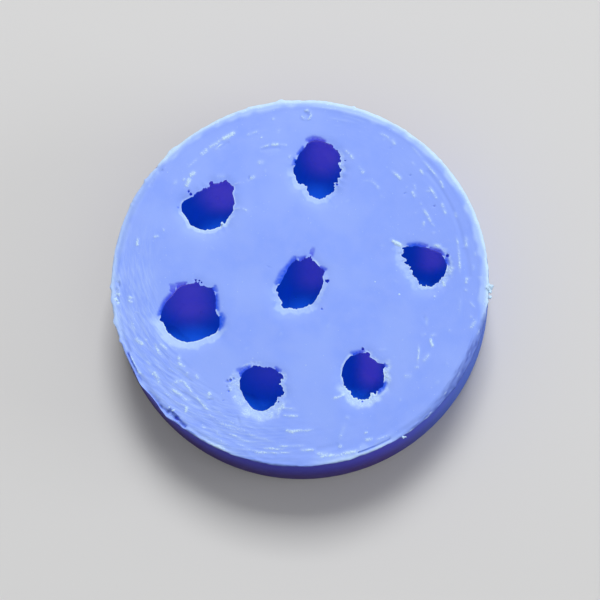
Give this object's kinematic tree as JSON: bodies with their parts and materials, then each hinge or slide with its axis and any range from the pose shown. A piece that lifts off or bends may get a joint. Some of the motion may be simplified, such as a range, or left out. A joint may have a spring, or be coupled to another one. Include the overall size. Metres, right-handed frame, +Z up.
{
  "type": "block mold",
  "caption": "Round silicone block mold with undercut, stone-shaped cavities that open through thin torn mouths in its flat upper face, on a flat base.",
  "frame": {"origin": "centre of the flat underside", "axes": "+Z up, out of the face with the mouths; +Y to the top of the cavity layout as seen from above, +X to its right"},
  "size_m": [0.0772, 0.0772, 0.0153],
  "materials": {
    "block_silicone": "matt, faintly waxy blue-violet silicone",
    "thin_silicone": "the same silicone where it is thin, paler and slightly see-through"
  },
  "bodies": {
    "root": {"mold_block": "block_silicone", "mouth_flash_top": "thin_silicone", "mouth_flash_upper_left": "thin_silicone", "mouth_flash_right": "thin_silicone", "mouth_flash_centre": "thin_silicone", "mouth_flash_left": "thin_silicone", "mouth_flash_lower_right": "thin_silicone", "mouth_flash_lower_left": "thin_silicone", "rim_flash": "thin_silicone"}
  },
  "joints": []
}
